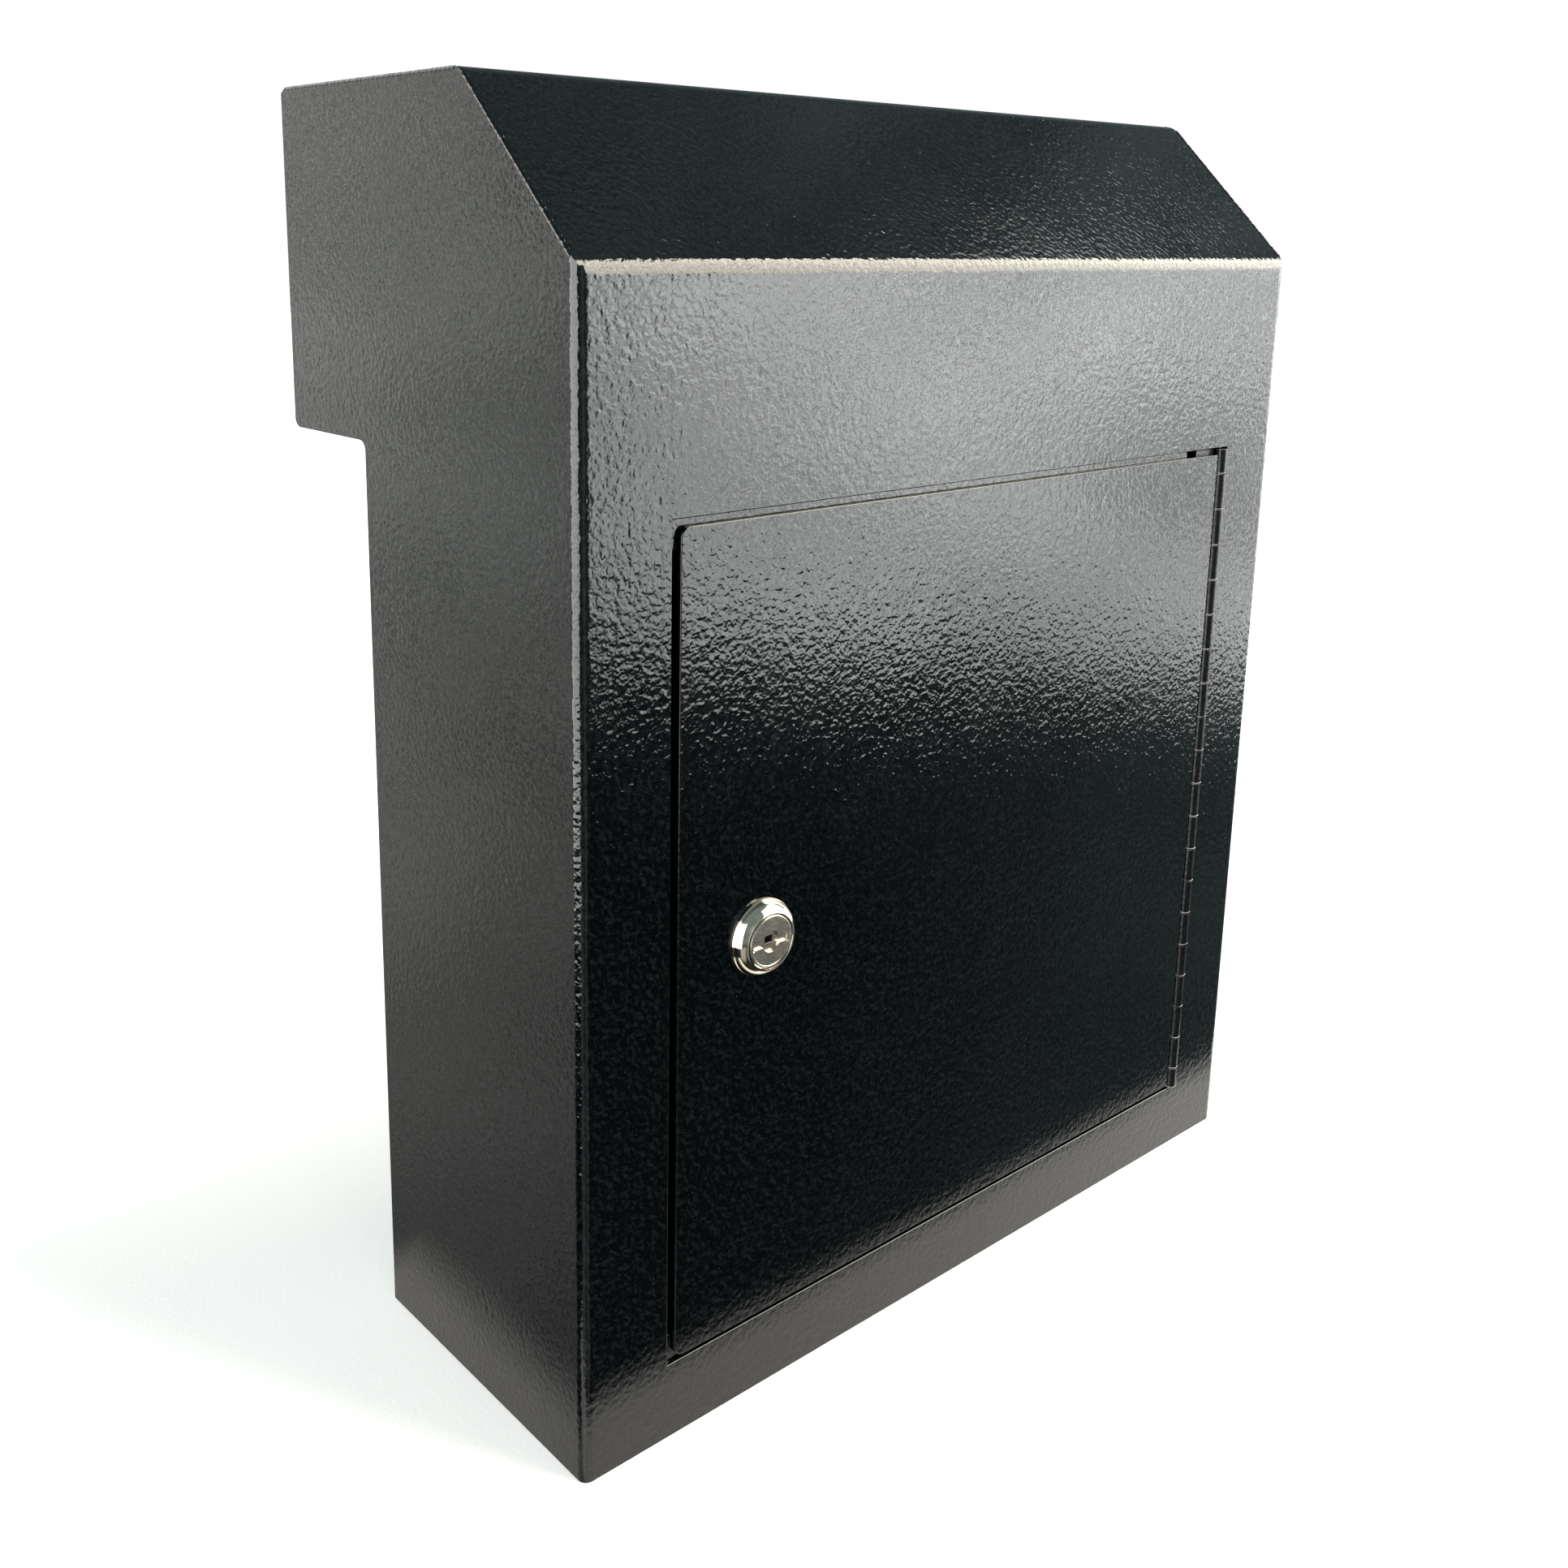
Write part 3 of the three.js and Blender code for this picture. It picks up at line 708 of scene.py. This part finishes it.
def back_welds(side, label):
    """The welds that hold the back sheet between the sides, as (y, z) of each one's ends."""
    seam = side * (SHELL_HIGH.x - SHEET - 0.15 * MM)
    short = 3 * MM
    rear = SHELL_HIGH.y
    runs = (
        ("lower_back_weld", (LOWER_BACK, 1 * MM), (LOWER_BACK, NECK_FLOOR - short), (0, 1, 0)),
        ("neck_floor_weld", (LOWER_BACK + short, NECK_FLOOR), (rear - short, NECK_FLOOR), (0, 0, -1)),
        ("neck_back_weld", (rear, NECK_FLOOR + short), (rear, SHELL_HIGH.z - 2 * MM), (0, 1, 0)),
    )
    for order, (name, start, end, outward) in enumerate(runs):
        weld_bead(
            f"{name}_{label}", Vector((seam, *start)), Vector((seam, *end)), Vector(outward),
            1.5 * MM, 0.14 * MM, seed=side + 6 + 3 * order,
        )


def seam_beads():
    """The welded seams: the hood's side corners, and the back sheet between the two sides."""
    for side, label in ((-1, "left"), (1, "right")):
        hood_welds(side, label)
        back_welds(side, label)


def cabinet():
    cabinet_shell()
    coated = (COAT, COAT_EDGE)
    for node, width in (
        ("back_sheet", 0.16 * MM), ("bottom_panel", 0.16 * MM), ("top_door_stop", 0.2 * MM),
        ("bottom_door_stop", 0.2 * MM), ("chute_ramp", 0.15 * MM), ("fishing_baffle", 0.15 * MM),
    ):
        refined(node, "black_powder_coat", *coated, width)
    seam_beads()


# ---- Hinge ----

def knuckle_spans():
    """(low, high) of each knuckle from the top down; cabinet and door knuckles in turn."""
    joint = HINGE_HIGH.z - TOP_KNUCKLE
    high = HINGE_HIGH.z
    spans = []
    while joint > HINGE_LOW.z:
        spans.append((joint + KNUCKLE_GAP / 2, high))
        high = joint - KNUCKLE_GAP / 2
        joint -= KNUCKLE_PITCH
    spans.append((HINGE_LOW.z, high))
    return spans


def curl_outline(side):
    """A knuckle's rolled strip about the pin, closed but for a seam, with a tongue to its leaf."""
    plate_front = KNUCKLE_RADIUS - LEAF_SHEET
    tongue = KNUCKLE_RADIUS + KNUCKLE_GAP
    seam_end = 379
    inner_start = math.degrees(math.asin(plate_front / PIN_HOLE))
    points = [(tongue, KNUCKLE_RADIUS)]
    points += arc(KNUCKLE_RADIUS, 90, seam_end, 44)
    points += arc(PIN_HOLE, seam_end, inner_start, 40)
    points += [(tongue, plate_front)]
    return [(side * u, v) for u, v in points]


def at_hinge(u, v, along):
    return Vector((HINGE_AXIS.x + u, HINGE_AXIS.y + v, along))


def is_knuckle_rim(edge):
    """The outer edges at a knuckle's two ends, clear of the leaf."""
    level = abs(edge.verts[0].co.z - edge.verts[1].co.z) < 0.01 * MM
    outer = all(
        math.dist(vertex.co.xy, HINGE_AXIS.xy) > KNUCKLE_RADIUS - 0.1 * MM
        and abs(vertex.co.x - HINGE_AXIS.x) < KNUCKLE_RADIUS + 0.05 * MM
        for vertex in edge.verts
    )
    return level and outer


def leaf_plate(side):
    """The leaf's flat plate beside its knuckles."""
    bm = bmesh.new()
    near = side * (KNUCKLE_RADIUS + KNUCKLE_GAP)
    far = side * LEAF_WIDTH
    section = rectangle(near, far, KNUCKLE_RADIUS - LEAF_SHEET, KNUCKLE_RADIUS)
    prism(bm, section, at_hinge, HINGE_LOW.z, HINGE_HIGH.z)
    soften(bm, 0.12 * MM, above=50)
    return bm


def absorb(bm, other):
    """Adds another mesh's faces and frees it."""
    mesh = bpy.data.meshes.new("absorbed")
    other.to_mesh(mesh)
    other.free()
    bm.from_mesh(mesh)
    bpy.data.meshes.remove(mesh)


def hinge_leaf(side, first, node):
    """The leaf's plate and every other knuckle; side is 1 for the cabinet's leaf, -1 the door's."""
    bm = bmesh.new()
    for index, (low, high) in enumerate(knuckle_spans()):
        if index % 2 == first:
            prism(bm, curl_outline(side), at_hinge, low, high)
    soften(bm, 0.18 * MM, above=50, material=1, only=is_knuckle_rim, clamped=False)
    absorb(bm, leaf_plate(side))
    finished(
        bm, node + "_finish", BODY_OF[node], (COAT_HINGE, KNUCKLE_EDGE),
        nodes=[node],
    )
    spot_welds(side, BODY_OF[node])


def spot_welds(side, body):
    """The round dents that spot welding leaves along the back of a leaf."""
    bm = bmesh.new()
    radius = 2.6 * MM
    rim = 0.16 * MM
    profile = [
        (0, 0.03 * MM), (radius * 0.55, 0.04 * MM), (radius * 0.72, rim), (radius * 0.86, rim),
        (radius, 0), (radius, -0.1 * MM), (0, -0.1 * MM),
    ]
    count = 9
    margin = 14 * MM
    pitch = (HINGE_HIGH.z - HINGE_LOW.z - 2 * margin) / (count - 1)
    for index in range(count):
        centre = HINGE_LOW.z + margin + index * pitch

        def place(u, v, along, centre=centre):
            x = HINGE_AXIS.x + side * LEAF_WIDTH * 0.58 + u
            return Vector((x, HINGE_AXIS.y + KNUCKLE_RADIUS + along, centre + v))

        revolved(bm, profile, place, steps=28)
    finished(bm, f"hinge_spot_welds_{body}", body, (COAT,), smooth_below=60)


def hinge_pin():
    """The pin with its two domed ends."""
    low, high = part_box("hinge_pin")
    dome = 0.35 * MM
    bm = bmesh.new()
    profile = [(0, low.z), (PIN_RADIUS * 0.7, low.z + dome * 0.3), (PIN_RADIUS, low.z + dome)]
    profile += [(PIN_RADIUS, high.z - dome), (PIN_RADIUS * 0.7, high.z - dome * 0.3), (0, high.z)]
    revolved(bm, profile, at_hinge, steps=28)
    finished(bm, "hinge_pin_finish", "cabinet", (ZINC,), nodes=["hinge_pin"])


def hinge():
    hinge_leaf(1, 0, "hinge_leaf_cabinet")
    hinge_leaf(-1, 1, "hinge_leaf_door")
    hinge_pin()


# ---- Door and lock ----

BEZEL_RADIUS = 11.1 * MM
BEZEL_RIM = 0.9 * MM
FACE = -4.2 * MM
LIP_RADIUS = 8.6 * MM
HEAD_RADIUS = 7.8 * MM
HEAD_BACK = FACE + 1.7 * MM
BARREL_RADIUS = 9.4 * MM
BARREL_FLAT = 8.0 * MM
BARREL_END = 11.1 * MM
BORE = 6.6 * MM
CORE_RADIUS = 6.3 * MM
POST_HALF = 3.5 * MM
POST_END = 14.4 * MM
THREAD_PITCH = 1.0 * MM
THREAD_DEPTH = 0.45 * MM


def at_lock(u, v, along):
    """(u, v) across the lock's face and along its axis, into the box."""
    return Vector((LOCK.x + u, FRONT + along, LOCK.z + v))


def barrel_section(radius, along, angle):
    """The thread's helix on the barrel, and the barrel's two flats."""
    if radius > BARREL_RADIUS - THREAD_DEPTH and 0 < along < BARREL_END:
        phase = (along / THREAD_PITCH - angle / (2 * math.pi)) % 1
        radius -= THREAD_DEPTH * abs(2 * phase - 1)
    u, v = radius * math.cos(angle), radius * math.sin(angle)
    if along > 0 and radius > BORE:
        v = max(-BARREL_FLAT, min(BARREL_FLAT, v))
    return u, v


def lock_housing():
    """The bezel in front of the door and the threaded barrel behind it, in one casting."""
    rows = 8
    count = round(BARREL_END / THREAD_PITCH * rows)
    barrel = [(BARREL_RADIUS, BARREL_END * (1 - i / count)) for i in range(count + 1)]
    counterbore = HEAD_RADIUS + 0.25 * MM
    shoulder = HEAD_BACK + 0.3 * MM
    flange = BEZEL_RADIUS + 0.3 * MM
    flange_corner = BEZEL_RADIUS + 0.15 * MM
    dome = []
    dome_steps = 14
    for i in range(dome_steps + 1):
        t = i / dome_steps
        swell = 0.42 * MM * math.sin(math.pi * t)
        radius = BEZEL_RADIUS - (BEZEL_RADIUS - LIP_RADIUS) * t + swell
        dome.append((radius, -BEZEL_RIM + (FACE + BEZEL_RIM) * t - swell * 0.5))
    profile = [
        (BORE, shoulder), (BORE, BARREL_END), *barrel,
        (flange_corner, -0.02 * MM), (flange, -0.2 * MM), (flange, -0.5 * MM),
        (flange_corner, -0.7 * MM), *dome, (counterbore + 0.1 * MM, FACE),
        (counterbore, FACE + 0.12 * MM), (counterbore, shoulder),
    ]
    bm = bmesh.new()
    revolved(bm, profile, at_lock, steps=96, closed=True, shape=barrel_section)
    stop_outside = 9.2 * MM
    stop_inside = 7.6 * MM
    for start, end in ((-40, 40), (155, 235)):
        stop = arc(stop_outside, start, end, 16) + arc(stop_inside, end, start, 16)
        prism(bm, stop, at_lock, BARREL_END - 0.3 * MM, BARREL_END + 1.4 * MM)
    finished(
        bm, "lock_housing_finish", "door", (BRIGHT_NICKEL,), smooth_below=42,
        nodes=["lock_housing"],
    )


def box_cutter(u0, u1, v0, v1, low, high):
    bm = bmesh.new()
    prism(bm, rectangle(u0, u1, v0, v1), at_lock, low, high)
    return bm


def round_cutter(radius, low, high):
    bm = bmesh.new()
    prism(bm, arc(radius, 0, 360 * 47 / 48, 47), at_lock, low, high)
    return bm


def lock_plug():
    """The plug's head with its raised rim, wing groove, round recess and keyhole."""
    rim = 0.14 * MM
    bm = bmesh.new()
    profile = [
        (0, FACE), (HEAD_RADIUS - 0.75 * MM, FACE), (HEAD_RADIUS - 0.6 * MM, FACE - rim),
        (HEAD_RADIUS - 0.2 * MM, FACE - rim), (HEAD_RADIUS, FACE + 0.1 * MM),
        (HEAD_RADIUS, HEAD_BACK), (CORE_RADIUS, HEAD_BACK), (CORE_RADIUS, BARREL_END), (0, BARREL_END),
    ]
    revolved(bm, profile, at_lock, steps=96)
    front = FACE - 1 * MM
    groove = box_cutter(-6.2 * MM, 6.2 * MM, -1.15 * MM, 1.15 * MM, front, FACE + 0.8 * MM)
    recess = round_cutter(3.2 * MM, front, FACE + 1.0 * MM)
    keyhole = box_cutter(-1.75 * MM, 1.15 * MM, -0.6 * MM, 1.55 * MM, front, FACE + 7 * MM)
    cutters = [groove, recess, keyhole]
    for side in (-1, 1):
        notch = sorted((side * 5.9 * MM, side * 6.75 * MM))
        cutters.append(box_cutter(*notch, -1.5 * MM, 1.5 * MM, front, FACE + 0.45 * MM))
    bm = carved(bm, cutters)
    soften(bm, 0.09 * MM, above=45)
    prism(bm, rectangle(-POST_HALF, POST_HALF, -POST_HALF, POST_HALF), at_lock,
          BARREL_END - 0.2 * MM, POST_END)
    finished(
        bm, "lock_plug_finish", "lock_core", (SATIN_NICKEL,), nodes=["lock_plug"]
    )


def lock_nut():
    """A hexagon nut with chamfered corners."""
    low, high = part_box("lock_nut")
    across_flats = (high.z - low.z) / 2
    corner = across_flats / math.cos(math.pi / 6)
    start = low.y - FRONT
    end = high.y - FRONT
    hexagon = [(corner * math.cos(math.radians(60 * i)), corner * math.sin(math.radians(60 * i)))
               for i in range(6)]
    bm = bmesh.new()
    prism(bm, hexagon, at_lock, start, end)
    chamfer = bmesh.new()
    edge = across_flats * 1.01
    slope = (corner - edge) * 0.6
    outer = corner + 0.2 * MM
    profile = [
        (0, start), (edge, start), (outer, start + slope), (outer, end - slope), (edge, end), (0, end),
    ]
    revolved(chamfer, profile, at_lock)
    bm = carved(bm, [chamfer], "INTERSECT")
    bm = carved(bm, [round_cutter(BARREL_RADIUS + 0.15 * MM, start - 1 * MM, end + 1 * MM)])
    soften(bm, 0.15 * MM, above=28)
    finished(bm, "lock_nut_finish", "door", (ZINC,), nodes=["lock_nut"])


def cam_screw():
    """A pan-head screw with a cross recess."""
    low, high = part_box("cam_screw")
    radius = (high.x - low.x) / 2
    top = high.y - FRONT
    seat = top - 2.6 * MM
    shank = 2.3 * MM
    bm = bmesh.new()
    tip = low.y - FRONT
    side = seat + 1.1 * MM
    turns = [math.radians(degrees) for degrees in range(0, 90, 10)]
    crown = [(radius * math.cos(turn), side + 1.5 * MM * math.sin(turn)) for turn in turns]
    profile = [(0, tip), (shank, tip), (shank, seat), (radius, seat), *crown, (0, top)]
    revolved(bm, profile, at_lock, steps=48)
    arms = []
    for wide, narrow in ((2.5 * MM, 0.5 * MM), (0.5 * MM, 2.5 * MM)):
        arms.append(box_cutter(-wide, wide, -narrow, narrow, seat + 1.2 * MM, top + 1 * MM))
    bm = carved(bm, arms)
    soften(bm, 0.08 * MM, above=40)
    finished(bm, "cam_screw_finish", "lock_core", (ZINC,), nodes=["cam_screw"])


def is_door_outline(edge):
    """The door's outer edges, front and back, without those of the lock's hole."""
    level = abs(edge.verts[0].co.y - edge.verts[1].co.y) < 0.01 * MM
    clear = all(math.dist(vertex.co.xz, LOCK.xz) > 20 * MM for vertex in edge.verts)
    return level and clear


def door_panel():
    """The door's plate, its outline rounded and its lock hole left sharp."""
    bm = from_cad("door_panel")
    soften(bm, 0.34 * MM, above=60, segments=4, only=is_door_outline, clamped=False)
    finished(
        bm, "door_panel_finish", "door", (COAT,), nodes=["door_panel"]
    )


def door_and_lock():
    door_panel()
    lock_housing()
    lock_plug()
    lock_nut()
    cam_screw()
    for node, width in (
        ("lock_cam", 0.3 * MM), ("lock_stop_washer", 0.12 * MM), ("cam_spring_washer", 0.15 * MM),
    ):
        refined(node, "zinc_plate", ZINC, ZINC, width)
    for index in range(1, 6):
        refined(f"lock_wafer_{index}", "brass", BRASS, BRASS, 0.06 * MM)


# ---- Scene ----

bpy.context.scene.view_settings.view_transform = "Standard"
photograph_camera()
studio_sky()
overhead_light()
stage()
cabinet()
hinge()
door_and_lock()
